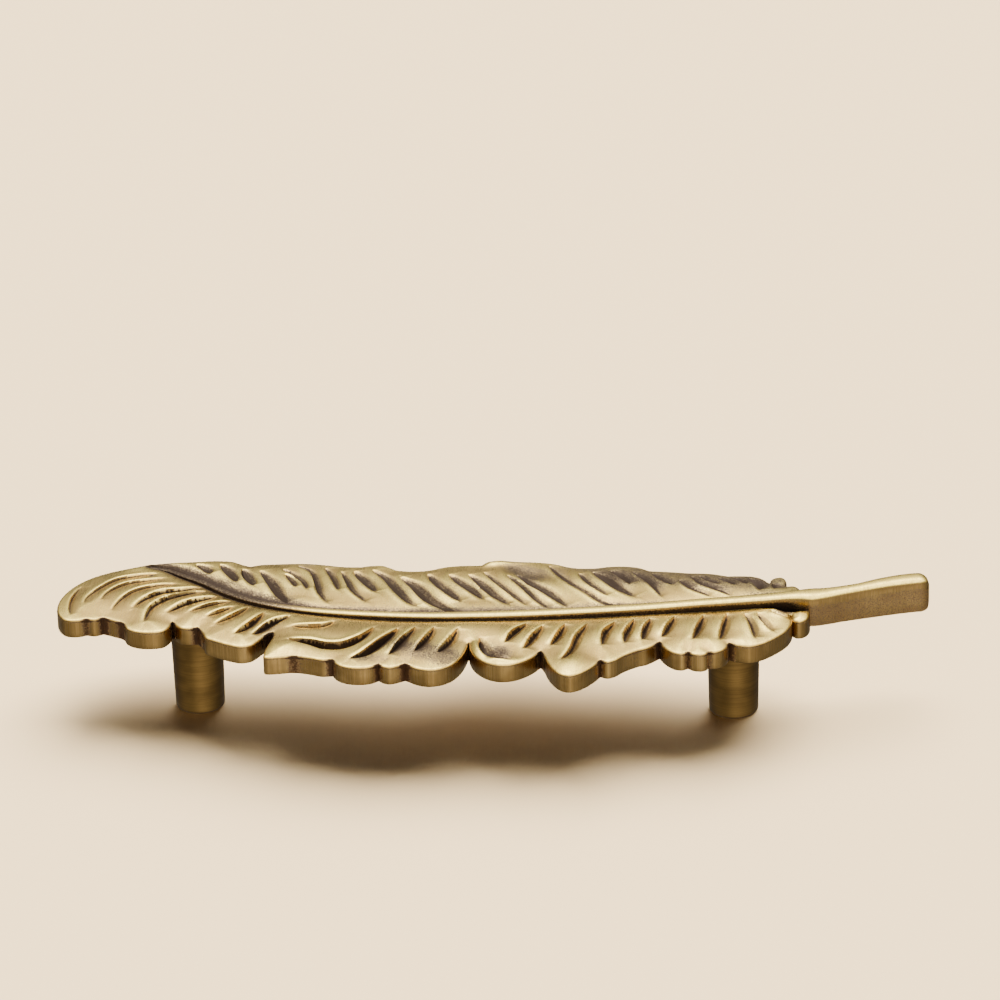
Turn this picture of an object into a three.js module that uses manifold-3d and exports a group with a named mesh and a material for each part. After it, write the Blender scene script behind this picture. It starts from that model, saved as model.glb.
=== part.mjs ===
// A feather-shaped drawer pull: a cast plate carved as a feather, its quill running out as a bare stem,
// on two turned posts. Each post has a spigot set in the plate's back and a tapped hole in its foot.
// Millimetres, +Z up. The feet stand on z = 0, the face of the drawer. +X runs from the feather's tip
// to the end of its stem, and -Y is the side of the deep lobes. The origin is on the drawer's face,
// under the middle of the pull's outline.
import * as THREE from "three";
import { mergeVertices } from "three/addons/utils/BufferGeometryUtils.js";
import Module from "manifold-3d";

// Sizes in plan. The feather is drawn over the line that joins the two holes.
const holeSpacing = 96;
const tipOverhang = 24.9; // feather beyond the hole near its tip
const rootOverhang = 13.6; // feather beyond the hole near its root
const frontReach = 26.5; // from the holes' line to the deepest lobe
const backReach = 20.5; // from the holes' line to the other edge
const stemLength = 21; // bare stem beyond the root
const stemSweep = 6.5; // how far the stem swings back over that length

// Heights.
const postHeight = 16; // from the drawer's face to the plate's back
const plateThickness = 3.4; // at the rim
const vaneCrest = 0.8; // how far each vane swells above the rim
const valleyDepth = 0.35; // how far the vanes dip beside the quill
const valleyReach = 1.8;
const rimChamfer = 0.35;

// Quill and stem. A rise is the height of the top above the rim.
const quillTipWidth = 0.9;
const quillRootWidth = 3;
const quillTipRise = 0.15;
const stemRootRise = 2.6;
const stemEndRise = 3;
const stemRootWidth = 5;
const stemWaistWidth = 3.2;
const stemEndWidth = 4.1;
const stemCrown = 1.3; // height of the stem's rounded top
const stemBottomChamfer = 0.4;
const stemEndRadius = 1.7;
const flareLength = 4; // over which the quill turns into the stem at the feather's root
const quillRootDepth = 1; // how far above the plate's back the quill is rooted in the plate

// Cuts between the barbs: width at the surface and depth.
const hair = { width: 0.55, depth: 0.4 };
const fine = { width: 0.95, depth: 0.65 };
const broad = { width: 1.45, depth: 0.9 };
const slit = { width: 2.0, depth: 2.0 };

// Posts.
const postTopDiameter = 9.4;
const postFootDiameter = 8.8;
const footEdgeRadius = 0.6;
const spigotDiameter = 5;
const spigotChamfer = 0.3;
const spigotClearance = 0.3; // round the spigot and above it
const spigotRoof = 1.3; // plate left above the spigot's hole, at the rim's level
const tapDiameter = 3.4; // an M4 thread's core
const tapDepth = 11;
const tapMouthDiameter = 4.4;
const drillPointAngle = 118;

// The feather's edge as it is drawn, in lobes that meet in sharp notches. A smooth line runs through
// each lobe's points. The holes lie on y = 0.
const edgeLobes = [
  [[-66.9, -5.5], [-68.3, -6.2], [-70.5, -6], [-72.2, -3.6], [-72.9, 0.5], [-72.1, 5.6], [-69.6, 10.4],
    [-65.8, 13.8], [-60, 16.4], [-54, 18.1], [-50, 18.9], [-46.5, 19.4], [-43.5, 19.1], [-41.4, 17.8]],
  [[-40.1, 17.1], [-38.3, 17.9], [-35, 18.3], [-31, 18.6], [-27.5, 18.3], [-23.5, 17.4]],
  [[-20, 17.3], [-18, 17.9], [-16.2, 18], [-14.6, 17.1]],
  [[-13.3, 16], [-10.5, 15.6], [-7.5, 16.1], [-4.5, 17.6], [-1.5, 18.2]],
  [[1.8, 18.3], [2.9, 19.8], [4.8, 20.5], [8, 20.1], [12.5, 19.8], [15.5, 19.1], [17.6, 18]],
  [[19.6, 17.4], [22.5, 17.5], [25, 18.2], [28, 18.4], [30.7, 17.8]],
  [[32.6, 16.5], [36, 16.2]],
  [[39.6, 15.7], [43.5, 15.5]],
  [[46.7, 14.5], [49, 14.6], [51.3, 14.4], [53, 13.4]],
  [[54.2, 11.6], [54.5, 13.2], [55.4, 14], [56.6, 14], [57.2, 12.8]],
  [[57.3, 10.2], [58.6, 10.4], [59.5, 9.6], [59.8, 7.4], [61, 3], [61.6, -1.2], [60.9, -3.6],
    [59.6, -4.4], [58.5, -3.7]],
  [[58.1, -1.4], [58.5, -4.2], [57.7, -7.6], [55.8, -10.6], [53.4, -13.2], [51.3, -14.3], [49.2, -14.1]],
  [[47.6, -13.3], [47.1, -14.9], [46.2, -16.2], [45.1, -16.8]],
  [[44.1, -16.6], [43.6, -17.5], [42.5, -17.9], [41.3, -17.6]],
  [[40.5, -16.8], [39.6, -17.5], [38.3, -17.3], [36.9, -16], [35.9, -14.3]],
  [[35.4, -13], [34.2, -14.5], [33.2, -15.5], [31.9, -16.2], [30.5, -17.3], [29.3, -18.5], [27.9, -20.3],
    [26.6, -21]],
  [[25.4, -20.4], [24.7, -22], [23, -24.6], [21.4, -26.1], [20, -26.5], [18.6, -25.8], [17.2, -23.7],
    [16.2, -21.2], [15.5, -18.8]],
  [[14.8, -17.1], [13.7, -19.1], [12.1, -21], [10.3, -22.3], [8.2, -22.7], [6.2, -22.1], [4.6, -20.7],
    [3.3, -18.8], [2.4, -16.4]],
  [[2, -14.2], [1.5, -17.6], [0.9, -20], [-0.2, -22.4], [-1.9, -24.1], [-4.2, -24.8], [-6.3, -24.2]],
  [[-8.5, -22.5], [-9.7, -23.4], [-11.2, -24], [-12.4, -23.5]],
  [[-13.1, -22.7], [-14.5, -23.9], [-16.6, -24.3], [-18.8, -23.9], [-20.4, -22.7]],
  [[-21.4, -21], [-23.2, -21.2], [-25.5, -20.4], [-28.3, -19.8], [-31, -20.3], [-33.3, -20.4],
    [-33.6, -18.3], [-33.2, -14.6], [-32.8, -11.8]],
  [[-33, -10.4], [-33.9, -11.3], [-35.1, -13.7], [-36.3, -15.6], [-38.2, -16.2], [-40.3, -15.4],
    [-42.6, -14.1], [-44.6, -12.7], [-45.4, -10.7]],
  [[-46.6, -8.7], [-47.8, -9], [-49.3, -8.9], [-50.4, -7.8]],
  [[-51.3, -6.5], [-51.6, -8.4], [-52.6, -10.2], [-54.8, -10.8], [-57.3, -10.5], [-59.1, -9.2],
    [-60.1, -7.2], [-62, -6]],
  [[-64, -5], [-65.4, -5.8]],
];

// The quill's line under its crest, from the feather's tip to its root.
const quillLine = [[-58.3, 16.1], [-55.2, 15], [-52.1, 12.7], [-47.9, 9.6], [-42.1, 4.5], [-36.1, 0.9],
  [-28.7, -1.6], [-20, -3.1], [-8, -4.1], [2, -4], [16, -2.8], [32, -0.8], [42, 0.8], [52.7, 2.1],
  [61.6, 2.7]];
// The stem's line goes on from there, as shares of its length and of its sweep.
const stemLine = [[0.12, 0.08], [0.25, 0.22], [0.42, 0.4], [0.59, 0.62], [0.76, 0.83], [0.88, 0.93], [1, 1]];
// How the quill and the stem grow, as shares of the way along each and of the growth.
const quillRises = [[0, 0], [0.11, 0.14], [0.36, 0.29], [0.49, 0.38], [0.75, 0.5], [0.88, 0.63],
  [0.955, 0.86], [1, 1]];
const quillWidths = [[0, 0], [0.11, 0.19], [0.36, 0.5], [0.5, 0.62], [0.75, 0.74], [0.88, 0.81], [1, 1]];
const stemRises = [[0, 0], [0.25, 0.1], [0.5, 0.5], [0.75, 1], [1, 1]];

// The cuts as they are drawn, each a kind and the points that its line runs through.
const frontCuts = [
  [fine, [-69.6, 7.5], [-70.5, 3], [-70.4, -1], [-69.8, -4]],
  [fine, [-56.3, 12.3], [-60.2, 11.2], [-63.4, 9.9], [-65.7, 7], [-67.6, 3.1], [-68.1, 0.2]],
  [fine, [-54.9, 10.4], [-57.6, 9.4], [-61.3, 8.1], [-63.9, 5.2], [-65.2, 1.5]],
  [fine, [-52.3, 8.1], [-56, 7.3], [-59.2, 5.4], [-61, 2.8], [-62.8, -2.5]],
  [broad, [-47.8, 7.8], [-51, 5.9], [-54.4, 4.9], [-57.1, 2], [-58.9, -1.7]],
  [broad, [-46.8, 5.9], [-50.2, 4.1], [-53.4, 2], [-55.5, -1.2], [-56.1, -7]],
  [broad, [-44.4, 3.6], [-47, 2], [-49.7, 0.2], [-52.6, -3.5]],
  [fine, [-41.8, 1.7], [-45, -0.1], [-48.6, -3.3]],
  [fine, [-41, -1.2], [-43.1, -3], [-45.2, -5.1]],
  [fine, [-38.1, -0.6], [-40.3, -4.3], [-43.4, -8]],
  [broad, [-35.1, -3.6], [-36.8, -7.4], [-39.3, -11.8]],
  [broad, [-30.3, -4.9], [-33.7, -7.7], [-36.2, -11.8]],
  [fine, [-22.1, -6.4], [-24, -8.3], [-26.5, -8.8], [-29.8, -9]],
  [slit, [-14.9, -9.3], [-17.1, -13.3], [-19.9, -15.8], [-22.8, -16.1], [-25.9, -14.9], [-29.9, -14.1]],
  [slit, [-10.6, -9.6], [-13, -14.2], [-15.9, -19], [-18, -21.1]],
  [broad, [-7.6, -9], [-9.2, -13], [-11.4, -19.6]],
  [broad, [-4.2, -9], [-5.4, -13.3], [-7, -18.3]],
  [broad, [0, -9.6], [-1.1, -13.3], [-2.9, -18.6]],
  [fine, [4.9, -14.5], [6.1, -18.9], [8.3, -21.2]],
  [broad, [12, -6.8], [9.9, -10.2], [8.6, -14.3]],
  [broad, [14.9, -8], [13.3, -12.1], [12, -16.4]],
  [broad, [18.8, -7.1], [17.7, -11.4], [16.6, -15.2]],
  [broad, [22.7, -6.8], [21.1, -11.8], [20.2, -17], [18.8, -20.8]],
  [broad, [27.5, -6.1], [25.9, -9.9], [25.6, -15.2]],
  [broad, [30.9, -4.9], [30.2, -7.5], [29.5, -10.8], [29.5, -14]],
  [broad, [33.8, -4.6], [32.8, -8.6], [32.5, -12.7]],
  [broad, [38, -3.7], [37.2, -6.4], [35.9, -11.4]],
  [broad, [43.1, -3], [42.2, -7.7], [41.4, -12.7]],
  [fine, [47.2, -2.4], [46.6, -7], [46.1, -12.4]],
  [fine, [50.2, -2.4], [51.3, -6.1], [52.2, -11.4]],
  [fine, [52.5, -2.2], [53.4, -5.2], [55.3, -8.6]],
  [slit, [53, 0.3], [57, 0.5], [61, 0.2]],
  [fine, [54.8, -1.2], [56, -2.4], [57.5, -2.9]],
];
const backCuts = [
  [broad, [-49.7, 16.7], [-48.1, 14.9], [-46.7, 12.8]],
  [broad, [-45.3, 17], [-44.2, 14.6], [-41.5, 9.4]],
  [broad, [-41, 15.1], [-39.9, 11.4], [-38.2, 7.9]],
  [broad, [-37.8, 14.5], [-35.3, 8.9], [-33.4, 4.5], [-31.5, 1.4]],
  [fine, [-33, 12.6], [-31.6, 9.6], [-30.6, 7.3]],
  [fine, [-33.8, 15.3], [-31.5, 12.6], [-29.6, 9.5], [-28.4, 6.4]],
  [fine, [-31.2, 17.3], [-28.7, 14.5], [-27.4, 10.4], [-26.2, 5.4], [-24.3, 1.4]],
  [fine, [-26.2, 16.4], [-24.6, 12], [-22.8, 6.1]],
  [fine, [-23.1, 14.8], [-21.8, 10.4], [-20.3, 6.1], [-17.4, 1.7]],
  [broad, [-20.7, 15.1], [-18.7, 10.4], [-15.9, 5.4]],
  [broad, [-17.4, 15.8], [-14.6, 11.4], [-12.8, 7.3], [-10.3, 2.6], [-8.1, 0.1]],
  [slit, [-12, 12.6], [-9.5, 8.6], [-6.4, 2.9], [-3.3, -0.2], [-1.1, -2.4]],
  [broad, [-7.3, 14.2], [-5.4, 9.5], [-2.9, 5.4], [-0.4, 2]],
  [broad, [-3.3, 13.6], [-1.1, 9.5], [1.1, 6.4], [3.6, 2.9]],
  [broad, [0.3, 13.6], [2.4, 9.5], [4.9, 5.1], [8.3, 1.1]],
  [fine, [2.8, 14.8], [5.5, 9.5], [8.3, 5.1], [11.4, 1.1]],
  [fine, [7.1, 13.3], [9.9, 8.3], [12.7, 3.3], [15.2, 0.1]],
  [broad, [8.8, 14.2], [11.5, 9.6], [15.1, 5.3], [18.6, 0.8]],
  [fine, [14.3, 18.3], [16.1, 14.2], [18.6, 9.8], [21.8, 5.8], [25, 2.2], [29, 0.6]],
  [fine, [20, 14.5], [21.9, 9.8], [25.6, 4.8]],
  [broad, [22.5, 15.4], [24.7, 11.7], [27.2, 7.9], [30.6, 4.5]],
  [fine, [25.6, 15.8], [27.5, 12.9], [29.4, 9.5]],
  [hair, [29.4, 15.4], [31.9, 11.4], [35.3, 4.5]],
  [hair, [33.1, 14.8], [34.7, 11.7], [36.9, 9.2]],
  [hair, [38, 11.4], [40, 7.9], [43.8, 5]],
  [hair, [40, 13.6], [41.9, 9.8], [44.4, 7.6], [47.5, 5.4]],
  [hair, [41.6, 13.9], [43.2, 11.4], [45.4, 9.8]],
  [hair, [45, 12.9], [46.6, 11.1], [48.1, 9.5]],
  [hair, [47.8, 13.3], [49, 11.4], [50.3, 10]],
  [fine, [50.5, 12.9], [51.9, 10.4], [52.7, 7.3]],
  [fine, [55.2, 12.3], [55, 10], [55.2, 8]],
];

// How finely the curves are cut into facets.
const edgeStep = 1.2;
const quillStep = 3;
const cutStep = 2.6;
const terrainColumns = 38;
const terrainRows = [0, 0.3, 0.55, 0.75, 0.9, 1];
const crownFacets = 6;
const endRounding = 0.75; // how far in the stem's end is rounded, as a share of its radius
const postFacets = 40;

const wasm = await Module();
wasm.setup();

// A geometry as a manifold-3d solid.
function solidOf(geometry) {
  const bare = geometry.clone();
  bare.deleteAttribute("normal");
  bare.deleteAttribute("uv");
  const merged = mergeVertices(bare, 1e-4);
  return new wasm.Manifold(
    new wasm.Mesh({
      numProp: 3,
      vertProperties: merged.attributes.position.array,
      triVerts: new Uint32Array(merged.index.array),
    }),
  );
}

// A manifold-3d solid as a geometry.
function geometryOf(solid) {
  const mesh = solid.getMesh();
  const geometry = new THREE.BufferGeometry();
  geometry.setAttribute("position", new THREE.BufferAttribute(mesh.vertProperties, 3));
  geometry.setIndex(new THREE.BufferAttribute(mesh.triVerts, 1));
  geometry.computeVertexNormals();
  return geometry;
}

const mix = (a, b, share) => a + (b - a) * share;

// The value at x of a table of [x, value] rows, in straight stretches.
function lookUp(table, x) {
  const next = table.findIndex((row) => row[0] >= x);
  if (next === 0) return table[0][1];
  if (next < 0) return table[table.length - 1][1];
  const [[x0, v0], [x1, v1]] = [table[next - 1], table[next]];
  return mix(v0, v1, (x - x0) / (x1 - x0));
}

// The drawing is fitted to the vane's box, so the feather follows the holes and the overhangs.
const drawn = new THREE.Box2().setFromPoints(edgeLobes.flat().map(([x, y]) => new THREE.Vector2(x, y)));
const tipX = -holeSpacing / 2 - tipOverhang;
const rootX = holeSpacing / 2 + rootOverhang;
const fitX = (x) => mix(tipX, rootX, (x - drawn.min.x) / (drawn.max.x - drawn.min.x));
const fitY = (y) => mix(-frontReach, backReach, (y - drawn.min.y) / (drawn.max.y - drawn.min.y));
const fit = ([x, y]) => new THREE.Vector2(fitX(x), fitY(y));

// Points on a smooth line through the given ones, about a step apart.
function smoothLine(points, step) {
  const curve = new THREE.CatmullRomCurve3(points.map((p) => new THREE.Vector3(p.x, p.y, 0)));
  curve.arcLengthDivisions = points.length * 20;
  const count = Math.max(2, Math.round(curve.getLength() / step));
  return curve.getSpacedPoints(count).map((p) => new THREE.Vector2(p.x, p.y));
}

// The whole edge, clockwise seen from above. Each lobe runs on to the first point of the next.
function featherEdge() {
  return edgeLobes.flatMap((lobe, i) => {
    const next = edgeLobes[(i + 1) % edgeLobes.length][0];
    return smoothLine([...lobe, next].map(fit), edgeStep).slice(0, -1);
  });
}

// How far a point is from a line of points.
function distanceTo(line, closed, x, y) {
  let best = Infinity;
  const last = closed ? line.length : line.length - 1;
  for (let i = 0; i < last; i += 1) {
    const a = line[i];
    const b = line[(i + 1) % line.length];
    const dx = b.x - a.x;
    const dy = b.y - a.y;
    const along = THREE.MathUtils.clamp(((x - a.x) * dx + (y - a.y) * dy) / (dx * dx + dy * dy), 0, 1);
    best = Math.min(best, Math.hypot(x - a.x - along * dx, y - a.y - along * dy));
  }
  return best;
}

// Whether a point is inside a closed line.
function isInside(line, x, y) {
  let inside = false;
  line.forEach((a, i) => {
    const b = line[(i + line.length - 1) % line.length];
    if (a.y > y !== b.y > y && x < ((b.x - a.x) * (y - a.y)) / (b.y - a.y) + a.x) inside = !inside;
  });
  return inside;
}

const backLevel = postHeight; // the plate's back
const rimLevel = postHeight + plateThickness;
const edge = featherEdge();
const quill = smoothLine(quillLine.map(fit), quillStep);
const quillRoot = quill[quill.length - 1];

// The height of the carved face before the cuts: each vane swells between the quill and the edge.
function faceHeight(x, y) {
  const toEdge = isInside(edge, x, y) ? distanceTo(edge, true, x, y) : 0;
  const toQuill = distanceTo(quill, false, x, y);
  const across = toQuill / Math.max(toQuill + toEdge, 1e-6);
  const valley = valleyDepth * Math.exp(-((toQuill / valleyReach) ** 2));
  return rimLevel + vaneCrest * Math.sin(Math.PI * across) - valley;
}

// A closed solid through rings of points, each ring as long as the first, with flat ends.
// The first ring is the lower one, and each ring runs anticlockwise seen from above.
function loft(rings) {
  const count = rings[0].length;
  const positions = rings.flat().flatMap((p) => [p.x, p.y, p.z]);
  const faces = [];
  for (let r = 0; r + 1 < rings.length; r += 1) {
    for (let i = 0; i < count; i += 1) {
      const a = r * count + i;
      const b = r * count + ((i + 1) % count);
      faces.push(a, b, a + count, b, b + count, a + count);
    }
  }
  return { positions, faces, count };
}

function closedSolid(positions, faces) {
  const geometry = new THREE.BufferGeometry();
  geometry.setAttribute("position", new THREE.BufferAttribute(new Float32Array(positions), 3));
  geometry.setIndex(faces);
  return solidOf(geometry);
}

// The plate's walls, from its back to the chamfer round its carved face and beyond.
function plateWalls() {
  const line = [...edge].reverse();
  const count = line.length;
  const inward = line.map((p, i) => {
    const before = line[(i + count - 1) % count];
    const after = line[(i + 1) % count];
    return new THREE.Vector2(before.y - after.y, after.x - before.x).normalize();
  });
  const ring = (z, inset) =>
    line.map((p, i) => new THREE.Vector3(p.x + inward[i].x * inset, p.y + inward[i].y * inset, z));
  const above = rimLevel + vaneCrest + rimChamfer;
  const rings = [
    ring(backLevel, 0),
    ring(rimLevel - rimChamfer, 0),
    ring(rimLevel, rimChamfer),
    ring(above, rimChamfer),
  ];
  const { positions, faces } = loft(rings);
  const flat = (points) => points.map((p) => new THREE.Vector2(p.x, p.y));
  const lid = (points) => THREE.ShapeUtils.triangulateShape(flat(points), []);
  const top = (rings.length - 1) * count;
  lid(rings[0]).forEach(([a, b, c]) => faces.push(a, c, b));
  lid(rings[rings.length - 1]).forEach(([a, b, c]) => faces.push(top + a, top + b, top + c));
  return closedSolid(positions, faces);
}

// A block under the carved face. Its rows run from the front, along the quill, to the back.
function terrain() {
  const margin = 2;
  const floor = backLevel - margin;
  const quillY = (x) => {
    const after = quill.findIndex((p) => p.x >= x);
    if (after === 0) return quill[0].y;
    if (after < 0) return quillRoot.y;
    const [a, b] = [quill[after - 1], quill[after]];
    return mix(a.y, b.y, (x - a.x) / (b.x - a.x));
  };
  const shares = [...terrainRows, ...terrainRows.slice(0, -1).reverse()];
  const rows = shares.length;
  const positions = [];
  for (let c = 0; c <= terrainColumns; c += 1) {
    const x = mix(tipX - margin, rootX + margin, c / terrainColumns);
    shares.forEach((share, r) => {
      const limit = r < terrainRows.length ? -frontReach - margin : backReach + margin;
      const y = mix(limit, quillY(x), share);
      positions.push(x, y, faceHeight(x, y), x, y, floor);
    });
  }
  const at = (c, r, low) => 2 * (c * rows + r) + low;
  const faces = [];
  const quad = (a, b, c, d) => faces.push(a, b, c, a, c, d);
  for (let c = 0; c < terrainColumns; c += 1) {
    for (let r = 0; r + 1 < rows; r += 1) {
      quad(at(c, r, 0), at(c + 1, r, 0), at(c + 1, r + 1, 0), at(c, r + 1, 0));
      quad(at(c, r, 1), at(c, r + 1, 1), at(c + 1, r + 1, 1), at(c + 1, r, 1));
    }
    quad(at(c, 0, 1), at(c + 1, 0, 1), at(c + 1, 0, 0), at(c, 0, 0));
    quad(at(c, rows - 1, 0), at(c + 1, rows - 1, 0), at(c + 1, rows - 1, 1), at(c, rows - 1, 1));
  }
  for (let r = 0; r + 1 < rows; r += 1) {
    quad(at(0, r, 1), at(0, r, 0), at(0, r + 1, 0), at(0, r + 1, 1));
    quad(at(terrainColumns, r, 0), at(terrainColumns, r, 1), at(terrainColumns, r + 1, 1),
      at(terrainColumns, r + 1, 0));
  }
  return closedSolid(positions, faces);
}

// A bar along a line: one ring of points for each station, closed with a fan at each end.
function bar(rings) {
  const { positions, faces, count } = loft(rings);
  const top = (rings.length - 1) * count;
  for (let i = 1; i + 1 < count; i += 1) {
    faces.push(0, i + 1, i);
    faces.push(top, top + i, top + i + 1);
  }
  return closedSolid(positions, faces);
}

// A ring across a line at a point, from [leftward, z] pairs. It faces along the line.
function ringAcross(point, direction, section) {
  return section.map(([side, z]) => {
    return new THREE.Vector3(point.x - direction.y * side, point.y + direction.x * side, z);
  });
}

const directionAt = (line, i) =>
  line[Math.min(i + 1, line.length - 1)].clone().sub(line[Math.max(i - 1, 0)]).normalize();

// One cut, as a pointed groove that fades out at both ends.
function cutter([kind, ...points]) {
  const line = smoothLine(points.map(fit), cutStep);
  const clear = kind.depth + vaneCrest;
  const rings = line.map((p, i) => {
    const fade = Math.max(0.02, Math.sin((Math.PI * i) / (line.length - 1))) ** 0.5;
    const half = (kind.width / 2) * fade;
    const level = faceHeight(p.x, p.y);
    return ringAcross(p, directionAt(line, i), [
      [0, level - kind.depth * fade],
      [half, level],
      [half * 1.2, level + clear],
      [-half * 1.2, level + clear],
      [-half, level],
    ]);
  });
  return bar(rings);
}

// A bar's section across its line: a flat bottom, upright sides and a rounded top.
function barSection({ width, top, bottom, crown, chamfer }, inset) {
  const half = width / 2 - inset;
  const low = bottom + inset / 2;
  const spring = top - inset - crown;
  const arc = Array.from({ length: crownFacets + 1 }, (_, k) => {
    const angle = (Math.PI * k) / crownFacets;
    return [half * Math.cos(angle), spring + crown * Math.sin(angle)];
  });
  const foot = [[-half, low + chamfer], [-half + chamfer, low], [half - chamfer, low], [half, low + chamfer]];
  return [...foot, ...arc];
}

// The quill and the stem are one bar: a low ridge that grows into a tall bar past the root.
function quillAndStem() {
  const stem = stemLine.map(
    ([along, side]) => new THREE.Vector2(quillRoot.x + along * stemLength, quillRoot.y + side * stemSweep),
  );
  const line = smoothLine([...quillLine.map(fit), ...stem], quillStep);
  const stemWidths = [[0, stemRootWidth], [0.12, mix(stemRootWidth, stemWaistWidth, 0.5)],
    [0.3, stemWaistWidth], [0.5, stemWaistWidth], [0.75, stemEndWidth], [1, stemEndWidth]];
  const flareStart = quillRoot.x - flareLength;
  const stations = line.map((point, i) => {
    const along = (point.x - quill[0].x) / (quillRoot.x - quill[0].x);
    const beyond = Math.max(0, (point.x - quillRoot.x) / stemLength);
    const isStem = THREE.MathUtils.smoothstep(point.x, flareStart, quillRoot.x - flareLength / 3);
    const quillWidth = mix(quillTipWidth, quillRootWidth, lookUp(quillWidths, along));
    const quillRise = mix(quillTipRise, stemRootRise, lookUp(quillRises, along));
    const stemRise = mix(stemRootRise, stemEndRise, lookUp(stemRises, beyond));
    const width = mix(quillWidth, lookUp(stemWidths, beyond), isStem);
    const rise = mix(quillRise, stemRise, isStem);
    return {
      point,
      direction: directionAt(line, i),
      width,
      top: rimLevel + rise,
      bottom: mix(backLevel + quillRootDepth, backLevel, isStem),
      crown: mix(Math.min(width / 2, rise + valleyDepth), stemCrown, isStem),
      chamfer: mix(quillTipRise / 2, stemBottomChamfer, isStem),
    };
  });
  const rounded = [0, 22.5, 45, 67.5, 90].map((degrees) => {
    const angle = THREE.MathUtils.degToRad(degrees);
    const end = stations[stations.length - 1];
    const back = stemEndRadius * (1 - Math.sin(angle));
    const inset = stemEndRadius * (1 - Math.cos(angle)) * endRounding;
    const place = end.point.clone().addScaledVector(end.direction, -back);
    return ringAcross(place, end.direction, barSection(end, inset));
  });
  const straight = stations.slice(0, -1).map((s) => ringAcross(s.point, s.direction, barSection(s, 0)));
  return bar([...straight, ...rounded]);
}

// The blind hole in the plate's back that takes a post's spigot.
function spigotHole(x) {
  const depth = plateThickness - spigotRoof;
  const under = 1;
  const radius = spigotDiameter / 2 + spigotClearance;
  const hole = new THREE.CylinderGeometry(radius, radius, depth + under, postFacets);
  hole.rotateX(Math.PI / 2);
  hole.translate(x, 0, backLevel + depth - (depth + under) / 2);
  return solidOf(hole);
}

const holePlaces = [-holeSpacing / 2, holeSpacing / 2];

function featherPlate() {
  const blank = plateWalls().intersect(terrain());
  const carved = [...frontCuts, ...backCuts].reduce((plate, cut) => plate.subtract(cutter(cut)), blank);
  const whole = carved.add(quillAndStem());
  return geometryOf(holePlaces.reduce((plate, x) => plate.subtract(spigotHole(x)), whole));
}

// A turned post: a slightly tapered barrel, a spigot above its shoulder and a tapped hole in its foot.
function turnedPost() {
  const foot = postFootDiameter / 2;
  const tap = tapDiameter / 2;
  const mouth = tapMouthDiameter / 2;
  const spigot = spigotDiameter / 2;
  const spigotTop = backLevel + plateThickness - spigotRoof - spigotClearance;
  const drillPoint = tap / Math.tan(THREE.MathUtils.degToRad(drillPointAngle / 2));
  const rounded = [0, 30, 60, 90].map((degrees) => {
    const angle = THREE.MathUtils.degToRad(degrees);
    return [foot - footEdgeRadius * (1 - Math.sin(angle)), footEdgeRadius * (1 - Math.cos(angle))];
  });
  const profile = [
    [0, tapDepth + drillPoint],
    [tap, tapDepth],
    [tap, mouth - tap],
    [mouth, 0],
    ...rounded,
    [postTopDiameter / 2, backLevel],
    [spigot, backLevel],
    [spigot, spigotTop - spigotChamfer],
    [spigot - spigotChamfer, spigotTop],
    [0, spigotTop],
  ].map(([r, z]) => new THREE.Vector2(r, z));
  const post = new THREE.LatheGeometry(profile, postFacets);
  post.rotateX(Math.PI / 2);
  return post;
}

function brass(colour, roughness) {
  return new THREE.MeshStandardMaterial({ color: colour, metalness: 1, roughness });
}

const castBrass = brass(0xb79a62, 0.38);
const turnedBrass = brass(0x8d6c38, 0.42);

const pull = new THREE.Group();
const plate = new THREE.Mesh(featherPlate(), castBrass);
plate.name = "feather_plate";
pull.add(plate);
["tip_post", "root_post"].forEach((name, i) => {
  const post = new THREE.Mesh(turnedPost(), turnedBrass);
  post.name = name;
  post.position.x = holePlaces[i];
  pull.add(post);
});

const middle = new THREE.Box3().setFromObject(pull).getCenter(new THREE.Vector3());
pull.position.set(-middle.x, -middle.y, 0);

export default pull;
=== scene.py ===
# The looks of a feather-shaped drawer pull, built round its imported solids: the carved plate with its
# quill and stem, and two turned posts. Metres, +Z up, in the solids' frame.
# The drawing's tables are in millimetres, from the middle of the line that joins the two holes.
import math

import bpy
import numpy as np
from mathutils import Matrix, Vector
from mathutils.geometry import delaunay_2d_cdt
from mathutils.kdtree import KDTree


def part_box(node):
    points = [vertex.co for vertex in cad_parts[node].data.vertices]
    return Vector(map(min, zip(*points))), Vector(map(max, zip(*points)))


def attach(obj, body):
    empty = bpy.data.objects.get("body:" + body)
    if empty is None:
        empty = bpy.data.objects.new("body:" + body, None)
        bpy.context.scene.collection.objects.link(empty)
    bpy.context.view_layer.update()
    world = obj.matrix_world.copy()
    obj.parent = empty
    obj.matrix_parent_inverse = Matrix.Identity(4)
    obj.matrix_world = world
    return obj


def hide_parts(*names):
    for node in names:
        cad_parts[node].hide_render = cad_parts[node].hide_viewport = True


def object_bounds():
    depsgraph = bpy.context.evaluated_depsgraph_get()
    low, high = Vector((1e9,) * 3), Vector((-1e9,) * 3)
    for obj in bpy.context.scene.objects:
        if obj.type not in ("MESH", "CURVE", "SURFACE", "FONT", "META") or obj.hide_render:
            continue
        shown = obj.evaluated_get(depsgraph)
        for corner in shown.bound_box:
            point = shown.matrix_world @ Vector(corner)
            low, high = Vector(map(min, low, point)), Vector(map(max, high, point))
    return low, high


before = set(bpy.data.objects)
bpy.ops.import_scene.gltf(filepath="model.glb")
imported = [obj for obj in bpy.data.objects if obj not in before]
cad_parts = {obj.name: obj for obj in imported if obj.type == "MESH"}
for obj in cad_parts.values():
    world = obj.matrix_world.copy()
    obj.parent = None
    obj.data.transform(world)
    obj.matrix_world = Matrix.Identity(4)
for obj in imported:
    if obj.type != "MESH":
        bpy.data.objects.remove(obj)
solid_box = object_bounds()

MM = 0.001
HOLE_SPACING = 96

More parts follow.
